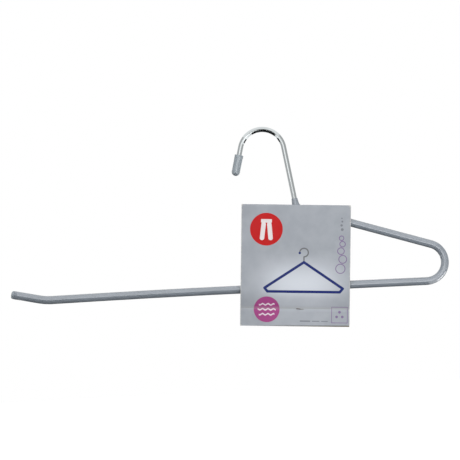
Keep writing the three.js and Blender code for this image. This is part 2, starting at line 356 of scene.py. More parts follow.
def spun(name, path, profile, sides, closed=False, swell=None):
    """A skin of rings round a path. profile lists (length along the path, radius), and a
    radius of 0 closes an end. closed joins the last ring to the first, as on a hollow tube.
    The flow attribute holds each point as if the path were straight."""
    back = np.array([0.0, 1.0, 0.0])
    points, flow, rings = [], [], []
    for s, radius in profile:
        place, tangent = path.at(s)
        normal = np.array([-tangent[2], 0.0, tangent[0]])
        if radius == 0:
            rings.append([len(points)])
            points.append(place)
            flow.append((0, 0, s))
            continue
        ring = []
        for k in range(sides):
            angle = FULL_TURN * k / sides
            reach = radius + (swell(s, angle) if swell else 0)
            outward = normal * math.cos(angle) - back * math.sin(angle)
            ring.append(len(points))
            points.append(place + reach * outward)
            flow.append((radius * math.cos(angle), radius * math.sin(angle), s))
        rings.append(ring)
    made = to_object(name, points, ring_faces(rings, closed))
    store_vector(made, "flow", flow)
    return made


def lip(s, radius, size, towards, steps=4):
    """A rounded edge of a tube's end: from the end face out to the side."""
    arc = [RIGHT_ANGLE * k / steps for k in range(steps, -1, -1)]
    lengths = [s + towards * size * (1 - math.sin(a)) for a in arc]
    radii = [radius - size * (1 - math.cos(a)) for a in arc]
    return list(zip(lengths, radii))


def dome(s, radius, height, towards, steps=8, fullness=2.4):
    """A blunt dome from its rim to its top."""
    made = []
    for k in range(1, steps):
        rise = math.sin(RIGHT_ANGLE * k / steps)
        made.append((s + towards * height * rise, radius * (1 - rise**fullness) ** (1 / fullness)))
    return made + [(s + towards * height, 0)]


def sleeve_swell(s, angle):
    """The soft tube's slight unevenness along its length and round it."""
    place = (s / UNEVEN_LENGTH, math.cos(angle) * UNEVEN_ROUND, math.sin(angle) * UNEVEN_ROUND)
    return UNEVENNESS * (noise.noise(Vector(place)) - UNEVEN_LEVEL)


def sleeve_radius(s):
    """The tube is drawn thin at its mouth on the shank, and gains a little towards its far end."""
    full = SLEEVE_RADIUS - SLEEVE_DRAWN + SLEEVE_GAIN * s
    share = max(0.0, 1 - s / SLEEVE_TAPER)
    return full - (full - SLEEVE_MOUTH_RADIUS) * share**2


def make_sleeve():
    """Soft hollow tube over the wire, from its thin mouth to its full round end."""
    stops = SLEEVE.stops(0, SLEEVE.length - END_LIP, STRAIGHT_STEP, BEND_STEP)
    stops += [SLEEVE_TAPER * k / SLEEVE_TAPER_STEPS for k in range(1, SLEEVE_TAPER_STEPS + 1)]
    first = MOUTH_LIP + MOUTH_LIP_MARGIN
    outer = [(s, sleeve_radius(s)) for s in sorted(set(stops)) if s > first]
    start = lip(0, SLEEVE_MOUTH_RADIUS, MOUTH_LIP, 1)
    end = lip(SLEEVE.length, sleeve_radius(SLEEVE.length), END_LIP, -1)[::-1]
    inner_stops = SLEEVE.stops(0, SLEEVE.length, 4 * STRAIGHT_STEP, 2 * BEND_STEP)
    bore = [(s, SLEEVE_BORE) for s in reversed(inner_stops)]
    profile = start + outer + end + bore
    return spun("grip_sleeve_tube", SLEEVE, profile, SLEEVE_SIDES, True, sleeve_swell)


def make_wire():
    """The one bent wire, with chamfered ends."""
    stops = WIRE.stops(WIRE_CHAMFER, WIRE.length - WIRE_CHAMFER, STRAIGHT_STEP, BEND_STEP)
    profile = [(0, 0), (0, WIRE_RADIUS - WIRE_CHAMFER)]
    profile += [(s, WIRE_RADIUS) for s in stops]
    profile += [(WIRE.length, WIRE_RADIUS - WIRE_CHAMFER), (WIRE.length, 0)]
    return spun("bent_wire", WIRE, profile, WIRE_SIDES)


def make_tip_cap():
    """Soft cup on the wire's tip: rolled mouth, slight taper and a blunt end."""
    seat = -(CAP_WALL + SEAT_GAP)
    mouth = seat + CAP_LENGTH
    bottom = seat + CAP_DOME
    body = mouth - bottom
    narrowing = CAP_END_RADIUS - CAP_WAIST_RADIUS
    profile = [
        (0.0, 0.0),
        (0.0, SLEEVE_BORE),
        (mouth - CAP_BORE_CHAMFER, SLEEVE_BORE),
        (mouth, SLEEVE_BORE + CAP_BORE_FLARE),
        *lip(mouth, CAP_MOUTH_RADIUS, CAP_LIP, -1),
        (mouth - CAP_ROLL, CAP_MOUTH_RADIUS - CAP_ROLL_SLACK),
        (mouth - CAP_ROLL_END, CAP_WAIST_RADIUS),
    ]
    for k in range(2, CAP_STEPS + 1):
        profile.append((mouth - body * k / CAP_STEPS, CAP_WAIST_RADIUS + narrowing * k / CAP_STEPS))
    profile += dome(bottom, CAP_END_RADIUS, CAP_DOME, -1, fullness=CAP_FULLNESS)
    return spun("tip_cap_moulding", WIRE, profile, SLEEVE_SIDES)


def make_end_plug():
    """Domed plug that closes the bar's end, with its stem in the sleeve."""
    end = SLEEVE.length
    face = end + PLUG_GAP
    profile = [(end - PLUG_STEM, 0), (end - PLUG_STEM, WIRE_RADIUS), (face, WIRE_RADIUS)]
    profile += lip(face, PLUG_RADIUS, PLUG_RIM, 1)
    profile += [(end + PLUG_HEAD, PLUG_RADIUS)]
    profile += dome(end + PLUG_HEAD, PLUG_RADIUS, PLUG_DOME, 1)
    return spun("end_plug_moulding", SLEEVE, profile, SLEEVE_SIDES)


def card_place():
    """Where the card hangs: its slot's right end rests on the sloping arm."""
    slot_x = SLOT_LENGTH / 2 * math.cos(CARD_TURN) - BOARD * math.sin(CARD_TURN)
    slot_z = SLOT_LENGTH / 2 * math.sin(CARD_TURN) + BOARD * math.cos(CARD_TURN)
    arm_z = SHOULDER_Z - slot_x * math.tan(ARM_SLOPE)
    rest_z = arm_z + (SLEEVE_RADIUS + SEAT_GAP) / math.cos(ARM_SLOPE)
    return np.array([SHOULDER_X, 0.0, rest_z + slot_z])


CARD_ORIGIN = card_place()
CREASE_Z = -((CARD_ORIGIN[2] - BAR_Z) / math.cos(CARD_TURN) + CREASE_DROP)
PINCH_Z = CREASE_Z + PINCH_HEIGHT


def from_card(point):
    """A place in the card's own frame as a place in the row frame, in millimetres."""
    x, y, z = point
    turn_x = x * math.cos(CARD_TURN) + z * math.sin(CARD_TURN)
    turn_z = -x * math.sin(CARD_TURN) + z * math.cos(CARD_TURN)
    return CARD_ORIGIN + np.array([turn_x, y, turn_z])


def smooth_step(share):
    """A share from 0 to 1 with soft ends."""
    share = min(1.0, max(0.0, share))
    return share * share * (3 - 2 * share)


def crease_gap(x):
    """Half the space between the panels at the crease: closed at the staple, open at the sides."""
    away = min(1.0, abs(x - STAPLE_OFFSET) / CREASE_OPENING_REACH)
    wave = noise.noise(Vector((x / CREASE_WAVE_LENGTH, CREASE_WAVE_SLICE, 0)))
    return STAPLED_GAP + CREASE_OPENING * away**CREASE_OPENING_POWER + CREASE_WAVE * wave


def left_share(x):
    """From 0 in the middle of the card to 1 at its left side."""
    return smooth_step((-x - LEFT_START) / LEFT_REACH)


def solve_ease(rise, ease_height):
    """The curve's parameter t, from 0 at its top to 1 at the crease, at a height above the crease.
    It solves rise = (1 - t)^2 + 2 t (1 - t) ease for t."""
    ease = ease_height / PINCH_HEIGHT
    a = 1 - 2 * ease
    b = 2 * ease - 2
    c = 1 - rise
    if abs(a) < TINY:
        return -c / b
    return (-b - math.sqrt(max(0.0, b * b - 4 * a * c))) / (2 * a)


def panel_half_width(x, z, side):
    """Distance of a panel's inner face from the middle plane, at x and depth z (z is negative)."""
    gap = crease_gap(x) - side * (CREASE_FORWARD - LEFT_SETBACK * left_share(x))
    drift = DRIFT * noise.noise(Vector((x / DRIFT_WIDTH, z / DRIFT_HEIGHT, DRIFT_SLICE * side)))
    if z < CREASE_Z:
        below = (CREASE_Z - z) / FRONT_FLAP
        spring = FLAP_SPRING - FLAP_SPRING_LEFT * left_share(x)
        fold = spring * smooth_step((CREASE_Z - z) / FLAP_SPRING_HEIGHT)
        return gap + fold + (FLAP_SPREAD + drift) * below
    if z < PINCH_Z:
        ease_height = BACK_PINCH_EASE if side > 0 else FRONT_PINCH_EASE
        t = solve_ease((z - CREASE_Z) / PINCH_HEIGHT, ease_height)
        return BULGE_HALF * (1 - t * t) + gap * t * t
    share = min(1.0, z / PINCH_Z)
    bow = math.sin(math.pi * share) * (PANEL_BOW + drift)
    return CHANNEL_HALF + (BULGE_HALF - CHANNEL_HALF) * share + bow


def flap_length(x, side):
    """The flap under the crease: cut a little askew in front, and longer and square behind."""
    share = x / CARD_WIDTH + 0.5
    return FRONT_FLAP + (BACK_FLAP_EXTRA if side > 0 else FLAP_LEFT_EXTRA - FLAP_SKEW * share)


def panel_depths():
    """Depths of the strip's rows from under the spine to just past the crease."""
    top = -SPINE_ROUNDING - PANEL_ROWS_START
    depths = list(np.linspace(top, PINCH_Z, PANEL_ROWS))
    depths += list(np.linspace(PINCH_Z, CREASE_Z + PINCH_ROWS_END, PINCH_ROWS))[1:]
    return depths + list(CREASE_Z + np.linspace(CREASE_ROWS_RISE, -FOLD_REACH, CREASE_ROWS))


def card_columns():
    """Places across the card, with the slot's ends and closer together round the staple."""
    half = CARD_WIDTH / 2
    slot = SLOT_LENGTH / 2
    even = np.linspace(-half, half, CARD_COLUMNS)
    close = np.linspace(-STAPLE_COLUMNS_REACH, STAPLE_COLUMNS_REACH, STAPLE_COLUMNS)
    return sorted(set(np.round(np.concatenate([even, [-slot, slot], STAPLE_OFFSET + close]), 4)))


def card_rows():
    """Rows of the strip from the front flap's edge over the spine to the back flap's edge.
    Each row is (kind, side, value), where side is -1 in front, 0 on the spine and 1 behind."""
    depths = panel_depths()
    corner = [SLOT_ANGLE * k / CORNER_STEPS for k in range(CORNER_STEPS + 1)] + [RIGHT_ANGLE]
    flap = [k / FLAP_ROWS for k in range(1, FLAP_ROWS + 1)]
    rows = [("flap", -1, share) for share in reversed(flap)]
    rows += [("panel", -1, z) for z in reversed(depths)]
    rows += [("corner", -1, angle) for angle in corner]
    rows += [("spine", 0, y) for y in SPINE_ROWS]
    rows += [("corner", 1, angle) for angle in reversed(corner)]
    rows += [("panel", 1, z) for z in depths]
    rows += [("flap", 1, share) for share in flap]
    return rows


def board_middle(x, row):
    """Where the board's middle surface lies at x in a row, as (y, z)."""
    kind, side, value = row
    if kind == "spine":
        return value, -BOARD / 2
    if kind == "corner":
        edge = panel_half_width(x, -SPINE_ROUNDING, side) + BOARD / 2
        y = edge - CORNER_RADIUS * (1 - math.cos(value))
        return side * y, -SPINE_ROUNDING + CORNER_RADIUS * math.sin(value)
    z = value
    if kind == "flap":
        z = CREASE_Z - FOLD_REACH - value * (flap_length(x, side) - FOLD_REACH)
    return side * (panel_half_width(x, z, side) + BOARD / 2), z


def board_outwards(grid):
    """Unit vectors from the board's middle surface to its outer skin."""
    ahead = np.empty_like(grid)
    ahead[:, 1:-1] = grid[:, 2:] - grid[:, :-2]
    ahead[:, 0] = grid[:, 1] - grid[:, 0]
    ahead[:, -1] = grid[:, -1] - grid[:, -2]
    ahead /= np.linalg.norm(ahead, axis=2, keepdims=True)
    return np.stack([-ahead[..., 1], ahead[..., 0]], axis=2)


def slotless_cells(columns, rows):
    """The grid cells that the slot for the neck leaves, each as (column, row)."""
    slot = SLOT_LENGTH / 2 + TINY

    def over_slot(row):
        return row[0] == "spine" or (row[0] == "corner" and row[2] >= SLOT_ANGLE - TINY)

    cells = set()
    for i, (left, right) in enumerate(zip(columns, columns[1:])):
        for j, (near, far) in enumerate(zip(rows, rows[1:])):
            inside = left >= -slot and right <= slot
            if not (inside and over_slot(near) and over_slot(far)):
                cells.add((i, j))
    return cells


# The sheet attribute's third value tells front from back
SIDE_MARK = 10.0

# Material places of the card
OUTER_FACE = 0
INNER_FACE = 1
CUT_EDGE = 2
SHARP_ANGLE = math.radians(50)


def make_card():
    """The folded strip as a thin closed board: outer skin, inner skin and cut edges."""
    columns = card_columns()
    rows = card_rows()
    grid = np.array([[board_middle(x, row) for row in rows] for x in columns])
    outwards = board_outwards(grid)
    points, sheet = [], []
    for skin in (1, -1):
        for i, x in enumerate(columns):
            for j, row in enumerate(rows):
                y, z = grid[i, j] + outwards[i, j] * skin * BOARD / 2
                points.append(from_card((x, y, z)))
                sheet.append((x, z, row[1] * SIDE_MARK))

    def outer(cell):
        return cell[0] * len(rows) + cell[1]

    def inner(cell):
        return len(columns) * len(rows) + outer(cell)

    cells = slotless_cells(columns, rows)
    faces, kinds = [], []
    for i, j in sorted(cells):
        corners = [(i, j), (i + 1, j), (i + 1, j + 1), (i, j + 1)]
        faces.append([outer(c) for c in corners])
        faces.append([inner(c) for c in reversed(corners)])
        kinds += [OUTER_FACE, INNER_FACE]
        neighbours = [(i, j - 1), (i + 1, j), (i, j + 1), (i - 1, j)]
        for a, b, neighbour in zip(corners, corners[1:] + corners[:1], neighbours):
            if neighbour not in cells:
                faces.append([outer(b), outer(a), inner(a), inner(b)])
                kinds.append(CUT_EDGE)

    used = sorted({v for face in faces for v in face})
    place = {v: k for k, v in enumerate(used)}
    faces = [[place[v] for v in face] for face in faces]
    made = to_object("printed_card", [points[v] for v in used], faces)
    store_vector(made, "sheet", [sheet[v] for v in used])
    for polygon, kind in zip(made.data.polygons, kinds):
        polygon.material_index = kind
        polygon.use_smooth = kind != CUT_EDGE
    made.data.set_sharp_from_angle(angle=SHARP_ANGLE)
    return made


def staple_route():
    """The staple's middle line, laid flat: clinch, leg, crown, leg and clinch."""
    half_crown = (STAPLE_WIDTH - STAPLE_WIRE) / 2
    clinch = half_crown - STAPLE_END_GAP - STAPLE_BEND
    leg = STAPLE_DEPTH - 2 * STAPLE_BEND
    crown = 2 * (half_crown - STAPLE_BEND)
    route = Path(-STAPLE_END_GAP, STAPLE_DEPTH / 2, math.pi)
    for length in (clinch, leg, crown, leg):
        route.straight(length).bend(STAPLE_BEND, RIGHT_ANGLE)
    return route.straight(clinch)


def squared(value):
    """A sine or cosine drawn towards the corners of a square."""
    return np.sign(value) * abs(value) ** STAPLE_SQUARENESS


def make_staple():
    """Flat wire bent to a crown in front, two legs through the card and a clinch behind.
    The route's Z is the card's depth, and its Y is the card's height."""
    route = staple_route()
    upward = np.array([0.0, 1.0, 0.0])
    points, rings, flow = [], [], []
    for s in route.stops(0, route.length, STAPLE_STRAIGHT_STEP, STAPLE_BEND_STEP):
        place, tangent = route.at(s)
        normal = np.array([-tangent[2], 0.0, tangent[0]])
        rings.append(list(range(len(points), len(points) + STAPLE_SIDES)))
        for k in range(STAPLE_SIDES):
            angle = FULL_TURN * k / STAPLE_SIDES
            across = squared(math.cos(angle)) * STAPLE_HALF_THICK
            up = squared(math.sin(angle)) * STAPLE_HALF_WIDE
            spot = place + normal * across + upward * up
            x = STAPLE_OFFSET + spot[0]
            z = CREASE_Z - STAPLE_DROP + spot[1] - STAPLE_TILT * spot[0]
            points.append(from_card((x, spot[2] - CREASE_FORWARD, z)))
            flow.append(spot)
    faces = ring_faces(rings) + [tuple(reversed(rings[0])), tuple(rings[-1])]
    made = to_object("card_staple_wire", points, faces)
    store_vector(made, "flow", flow)
    return made


def colour(red, green, blue):
    """An sRGB colour, given as on a screen from 0 to 255, in Blender's linear values."""
    linear = []
    for value in (red, green, blue):
        share = value / 255
        linear.append(share / 12.92 if share <= 0.04045 else ((share + 0.055) / 1.055) ** 2.4)
    return (*linear, 1.0)


# Colours of the materials
CHROME_DARK = colour(207, 212, 213)
CHROME_LIGHT = colour(216, 221, 222)
SLEEVE_LIGHT = colour(143, 151, 161)
SLEEVE_DARK = colour(137, 145, 154)
CAP_LIGHT = colour(149, 160, 168)
CAP_DARK = colour(143, 153, 160)
RUB_MARK = colour(186, 194, 204)
SILVER_DARK = colour(160, 165, 173)
SILVER_LIGHT = colour(168, 173, 180)
# Painted shade for the card's top-left corner
TOP_LEFT_SHADE = colour(146, 150, 158)
# Worn board, also used for the painted highlight on the crease's ridge
WORN_BOARD_AND_HIGHLIGHT = colour(214, 212, 204)
FIBRE_DARK = colour(126, 120, 104)
FIBRE_LIGHT = colour(168, 162, 146)
CUT_BOARD = colour(186, 182, 170)
STEEL = colour(166, 166, 166)
# Rust on the staple, darkened as painted shade
RUST_AND_SHADE = colour(88, 72, 66)

# Between these two lie most values of a noise
NOISE_RANGE = (0.3, 0.7)


class Graph:
    """A material's nodes, made with short calls that take numbers or sockets."""

    def __init__(self, name):
        self.material = bpy.data.materials.new(name)
        self.material.use_nodes = True
        self.tree = self.material.node_tree
        self.shader = self.tree.nodes["Principled BSDF"]

    def put(self, socket, value):
        if isinstance(value, bpy.types.NodeSocket):
            self.tree.links.new(value, socket)
        else:
            socket.default_value = value

    def add(self, kind, inputs=(), **settings):
        made = self.tree.nodes.new(kind)
        for key, value in settings.items():
            setattr(made, key, value)
        for key, value in dict(inputs).items():
            self.put(made.inputs[key], value)
        return made

    def math(self, operation, a, b=0.0, c=0.0, clamp=False):
        inputs = {0: a, 1: b, 2: c}
        return self.add("ShaderNodeMath", inputs, operation=operation, use_clamp=clamp).outputs[0]

    def plus(self, a, b):
        return self.math("ADD", a, b)

    def minus(self, a, b):
        return self.math("SUBTRACT", a, b)

    def times(self, a, b):
        return self.math("MULTIPLY", a, b)

    def size(self, a):
        return self.math("ABSOLUTE", a)

    def higher(self, a, b):
        return self.math("MAXIMUM", a, b)

    def vector(self, operation, a, b=(0, 0, 0)):
        made = self.add("ShaderNodeVectorMath", {0: a, 1: b}, operation=operation)
        single = operation in ("LENGTH", "DOT_PRODUCT", "DISTANCE")
        return made.outputs["Value" if single else "Vector"]

    def stretch(self, place, factors):
        return self.vector("MULTIPLY", place, factors)

    def scale(self, a, factor):
        inputs = {0: a, "Scale": factor}
        return self.add("ShaderNodeVectorMath", inputs, operation="SCALE").outputs[0]

    def split(self, place):
        return self.add("ShaderNodeSeparateXYZ", {0: place}).outputs

    def blend(self, factor, a, b):
        made = self.add("ShaderNodeMix", data_type="RGBA")
        self.put(made.inputs[0], factor)
        self.put(made.inputs[6], a)
        self.put(made.inputs[7], b)
        return made.outputs[2]

    def noise(self, place, scale, detail=2.0, roughness=0.5):
        inputs = {"Vector": place, "Scale": scale, "Detail": detail, "Roughness": roughness}
        return self.add("ShaderNodeTexNoise", inputs).outputs["Fac"]

    def span(self, value, source, target):
        """Maps the source range softly onto the target range."""
        inputs = {0: value, 1: source[0], 2: source[1], 3: target[0], 4: target[1]}
        return self.add("ShaderNodeMapRange", inputs, interpolation_type="SMOOTHSTEP").outputs[0]

    def attribute(self, name):
        return self.add("ShaderNodeAttribute", attribute_name=name).outputs["Vector"]

    def bump(self, height, distance, strength):
        """Relief on the shader: distance in metres between low and high."""
        inputs = {"Height": height, "Distance": distance, "Strength": strength}
        self.put(self.shader.inputs["Normal"], self.add("ShaderNodeBump", inputs).outputs[0])

    def set(self, **values):
        for key, value in values.items():
            self.put(self.shader.inputs[key.replace("_", " ")], value)


def chrome_material():
    """Bright plate with drawing lines along the wire and faint cloudiness."""
    g = Graph("chrome_plate")
    flow = g.attribute("flow")
    lines = g.noise(g.stretch(flow, (1, 1, 0.02)), scale=5200, detail=3)
    cloud = g.noise(flow, scale=160, detail=3)
    g.set(Metallic=1.0)
    g.set(Base_Color=g.blend(cloud, CHROME_DARK, CHROME_LIGHT))
    line_haze = g.span(lines, NOISE_RANGE, (0.06, 0.11))
    cloud_haze = g.span(cloud, (0.35, 0.75), (0, 0.07))
    g.set(Roughness=g.plus(line_haze, cloud_haze))
    g.bump(lines, distance=0.00001, strength=0.35)
    return g.material


def vinyl_material(name, light, dark, grain, relief, wear):
    """Soft vinyl: satin, with extrusion lines along it, fine grain and pale rub marks."""
    g = Graph(name)
    flow = g.attribute("flow")
    lines = g.noise(g.stretch(flow, (1, 1, 0.03)), scale=900, detail=1)
    fine = g.noise(flow, scale=grain)
    patch = g.noise(g.stretch(flow, (1, 1, 0.08)), scale=260)
    body = g.blend(g.span(patch, NOISE_RANGE, (0, 1)), dark, light)
    line_marks = g.span(lines, (0.58, 0.75), (0, 1))
    scuffs = g.times(line_marks, g.span(patch, (0.5, 0.65), (0, wear)))
    g.set(Base_Color=g.blend(scuffs, body, RUB_MARK))
    g.set(Roughness=g.span(fine, NOISE_RANGE, (0.1, 0.16)))
    g.set(Specular_IOR_Level=1.0, IOR=1.7)
    height = g.plus(g.times(fine, 0.6), g.times(lines, 0.4))
    g.bump(height, distance=0.00002, strength=relief)
    return g.material


class Print:
    """Flat printed figures on the card, as distances in millimetres in the card's plane."""

    def __init__(self, graph, place):
        self.g = graph
        self.place = place

    def ink(self, distance, soft=0.14):
        """1 inside a figure, 0 outside it, with an edge as wide as soft."""
        g = self.g
        return g.math("SUBTRACT", 0.5, g.math("DIVIDE", distance, soft), clamp=True)

    def offset(self, x, z):
        return self.g.vector("SUBTRACT", self.place, (x, z, 0))

    def disc(self, x, z, radius):
        return self.g.minus(self.g.vector("LENGTH", self.offset(x, z)), radius)

    def ring(self, x, z, radius, half_line):
        return self.g.minus(self.g.size(self.disc(x, z, radius)), half_line)

    def box(self, x, z, half_x, half_z, rounding=0.0):
        g = self.g
        inner = (half_x - rounding, half_z - rounding, 0)
        past = g.vector("SUBTRACT", g.vector("ABSOLUTE", self.offset(x, z)), inner)
        outside = g.vector("LENGTH", g.vector("MAXIMUM", past, (0, 0, 0)))
        past_x, past_z = g.split(past)[:2]
        inside = g.math("MINIMUM", g.higher(past_x, past_z), 0.0)
        return g.minus(g.plus(outside, inside), rounding)

    def stroke(self, x, z, to_x, to_z, half_line):
        """A straight line with round ends."""
        g = self.g
        line = (to_x - x, to_z - z, 0)
        start = self.offset(x, z)
        square = line[0] ** 2 + line[1] ** 2
        share = g.math("DIVIDE", g.vector("DOT_PRODUCT", start, line), square, clamp=True)
        return g.minus(g.vector("DISTANCE", start, g.scale(line, share)), half_line)

    def wave(self, x, z, half_length, swing, period, half_line):
        """A wavy line, cut off at its ends."""
        g = self.g
        turn = FULL_TURN / period
        run, across = g.split(self.offset(x, z))[:2]
        sway = g.times(g.math("SINE", g.times(run, turn)), swing)
        gap = g.size(g.minus(across, sway))
        slope = 1 / math.sqrt(1 + (swing * turn) ** 2 / 2)
        line = g.minus(g.times(gap, slope), half_line)
        return g.higher(line, g.minus(g.size(run), half_length))

    def either(self, *distances):
        """Several figures as one."""
        joined = distances[0]
        for other in distances[1:]:
            joined = self.g.math("MINIMUM", joined, other)
        return joined

    def without(self, kept, cut):
        """A figure with another one cut out of it."""
        return self.g.higher(kept, self.g.times(cut, -1.0))

    def paint(self, shade, figure, ink_colour, strength=1.0):
        """The colour under a figure, with the figure printed on it."""
        ink = self.ink(figure)
        if strength < 1:
            ink = self.g.times(ink, strength)
        return self.g.blend(ink, shade, ink_colour)


# Print: places are (x, z) from the middle of the spine's top, and offsets from a figure's middle
BADGE = (-25.0, -21.0)
BADGE_RADIUS = 13.8
WAISTBAND_Z = 7.0
WAISTBAND_HALF = (4.6, 1.5)
WAISTBAND_ROUNDING = 0.5
LEG_TOP = (2.4, 4.2)
LEG_FOOT = (3.6, -7.4)
LEG_HALF = 1.9

TAG = (-23.9, -88.6)
TAG_RADIUS = 10.9
# Waves on the tag: rise and half length
TAG_WAVES = ((4.2, 6.6), (0, 7.6), (-4.2, 6.6))
WAVE_STYLE = {"swing": 0.55, "period": 4.6, "half_line": 0.55}

FIGURE_X = 7.0
FIGURE_APEX_Z = -48.5
FIGURE_FOOT_Z = -73.4
FIGURE_HALF = 33.0
FIGURE_LINE = 1.1
FIGURE_CORNER = (2.5, 3)
CROOK_RISE = 8.2
CROOK_RADIUS = 3.6
CROOK_LINE = 0.55
CROOK_STEM_START = 1
CROOK_CUT_HALF = (3.4, 3)
CROOK_TIP = (-3.6, -0.4)
CROOK_TIP_RADIUS = 1.0

# Rings and dots up the side: x, z and radius
SIDE_RINGS = [
    (37.8, -53.6, 3.9), (39.7, -45.6, 3.3), (38.1, -38.7, 2.8),
    (39.4, -32.8, 2.3), (38.5, -27.8, 1.9),
]
SIDE_RING_LINE = 0.36
SIDE_RING_STRENGTH = 0.8
SIDE_DOTS = [(39.0, -20.5, 1.2), (38.4, -17.0, 1.0), (39.0, -13.8, 0.8), (38.6, -11.0, 0.6)]

FRAME_PLACE = (37.6, -92.7)
FRAME_HALF_SIDES = (6.9, 6.35)
FRAME_DOTS = ((-2.4, -1.6), (2.4, -1.6), (0, 2.4))
FRAME_DOT_RADIUS = 1.15
FRAME_STRENGTH = 0.75

# Bars at the foot: x, half length and half height
FOOT_BARS = [(8.6, 4.4, 0.55), (17.6, 3.2, 0.4), (25.0, 2.8, 0.35)]
FOOT_BARS_Z = -98.2
FOOT_BARS_ROUNDING = 0.2
SMALL_PRINT_STRENGTH = 0.6

# Glow on the front: partly print, partly painted light that offsets the shade of the sloping panel
# above the crease
GLOW_X = 4.5
GLOW_HALF = 33
GLOW_POWER = 3.2
GLOW_RISE = (-36, -66)
GLOW_DIM = (-69, -81)
GLOW_DIM_LEVEL = 0.44
GLOW_END = (-84, -89)
GLOW_END_LEVEL = 0.36

RED = colour(194, 18, 20)
WARM_WHITE = colour(232, 224, 224)
HOOK_GREY = colour(112, 114, 116)
DARK_BLUE = colour(32, 46, 112)
MAGENTA = colour(168, 74, 136)
PALE_PINK = colour(228, 214, 224)
PURPLE = colour(120, 84, 142)
PRINT_GREY = colour(92, 94, 100)
GLOW_COLOUR = colour(213, 218, 226)


def trousers(p):
    """Waistband and two legs on the badge."""
    x, z = BADGE
    top, foot = LEG_TOP, LEG_FOOT
    return p.either(
        p.box(x, z + WAISTBAND_Z, *WAISTBAND_HALF, WAISTBAND_ROUNDING),
        p.stroke(x - top[0], z + top[1], x - foot[0], z + foot[1], LEG_HALF),
        p.stroke(x + top[0], z + top[1], x + foot[0], z + foot[1], LEG_HALF),
    )


def hanger_figure(p):
    """A plain triangular hanger with cut corners."""
    left, right = FIGURE_X - FIGURE_HALF, FIGURE_X + FIGURE_HALF
    corner, foot_z = FIGURE_CORNER[0], FIGURE_FOOT_Z
    side_z = foot_z + FIGURE_CORNER[1]
    return p.either(
        p.stroke(FIGURE_X, FIGURE_APEX_Z, left, side_z, FIGURE_LINE),
        p.stroke(FIGURE_X, FIGURE_APEX_Z, right, side_z, FIGURE_LINE),
        p.stroke(left, side_z, left + corner, foot_z, FIGURE_LINE),
        p.stroke(right, side_z, right - corner, foot_z, FIGURE_LINE),
        p.stroke(left + corner, foot_z, right - corner, foot_z, FIGURE_LINE),
    )


def figure_hook(p, z):
    """The figure's hook: a ring round z with its lower left quarter cut out, and a stem."""
    cut_x, cut_z = CROOK_CUT_HALF
    ring = p.ring(FIGURE_X, z, CROOK_RADIUS, CROOK_LINE)
    crook = p.without(ring, p.box(FIGURE_X - cut_x, z - cut_z, cut_x, cut_z))
    stem_z = FIGURE_APEX_Z + CROOK_STEM_START
    stem = p.stroke(FIGURE_X, stem_z, FIGURE_X, z - CROOK_RADIUS, CROOK_LINE)
    return p.either(crook, stem)


def printed_colour(p, base):
    """The front's generic print: badge, hanger figure, tag, rings, frame, dots and bars."""
    shade = p.paint(base, p.disc(*BADGE, BADGE_RADIUS), RED)
    shade = p.paint(shade, trousers(p), WARM_WHITE)

    figure = hanger_figure(p)
    hook_z = FIGURE_APEX_Z + CROOK_RISE
    shade = p.paint(shade, figure_hook(p, hook_z), HOOK_GREY)
    shade = p.paint(shade, figure, DARK_BLUE)
    tip = p.disc(FIGURE_X + CROOK_TIP[0], hook_z + CROOK_TIP[1], CROOK_TIP_RADIUS)
    shade = p.paint(shade, tip, DARK_BLUE)

    x, z = TAG
    shade = p.paint(shade, p.disc(x, z, TAG_RADIUS), MAGENTA)
    waves = p.either(*[p.wave(x, z + rise, half, **WAVE_STYLE) for rise, half in TAG_WAVES])
    shade = p.paint(shade, waves, PALE_PINK)

    side = p.either(*[p.ring(*ring, SIDE_RING_LINE) for ring in SIDE_RINGS])
    frame_line = p.without(*[p.box(*FRAME_PLACE, half, half) for half in FRAME_HALF_SIDES])
    x, z = FRAME_PLACE
    dots = p.either(*[p.disc(x + dx, z + dz, FRAME_DOT_RADIUS) for dx, dz in FRAME_DOTS])
    shade = p.paint(shade, side, PURPLE, SIDE_RING_STRENGTH)
    shade = p.paint(shade, p.either(frame_line, dots), PURPLE, FRAME_STRENGTH)

    small = [p.disc(*dot) for dot in SIDE_DOTS]
    for x, half_x, half_z in FOOT_BARS:
        small.append(p.box(x, FOOT_BARS_Z, half_x, half_z, FOOT_BARS_ROUNDING))
    return p.paint(shade, p.either(*small), PRINT_GREY, SMALL_PRINT_STRENGTH)


def glow_and_painted_light(g, x, z):
    """A pale glow above the figure's foot, partly print and partly painted light: its fade under
    the bar is held up to lighten the sloping panel above the crease against its shade.
    """
    away = g.math("DIVIDE", g.minus(x, GLOW_X), GLOW_HALF)
    spread = g.math("EXPONENT", g.times(g.math("POWER", g.size(away), GLOW_POWER), -1.0))
    rise = g.span(z, GLOW_RISE, (0, 1))
    dim = g.span(z, GLOW_DIM, (1, GLOW_DIM_LEVEL))
    fall = g.times(dim, g.span(z, GLOW_END, (1, GLOW_END_LEVEL)))
    return g.times(spread, g.times(rise, fall))


# Wear of the card round its corners and along its sides, a painted highlight on the crease's ridge
# and a painted shade at its top-left corner
CORNER_WEAR_TOP = (1.3, 1.6)
CORNER_WEAR_FOOT = 1.0
SIDE_WEAR = 0.35
RIDGE_HIGHLIGHT_RISE = 0.5
# Painted shade: the card is made darker round this place at its top-left corner
TOP_LEFT_SHADE_PLACE = (-CARD_WIDTH / 2 + 2, -3)


def ragged(g, distance, place, scale, level, swing):
    """A distance made uneven, for a rubbed edge. Noise below the level brings it nearer."""
    rough = g.times(g.minus(g.noise(place, scale=scale, detail=4), level), swing)
    return g.plus(distance, rough)


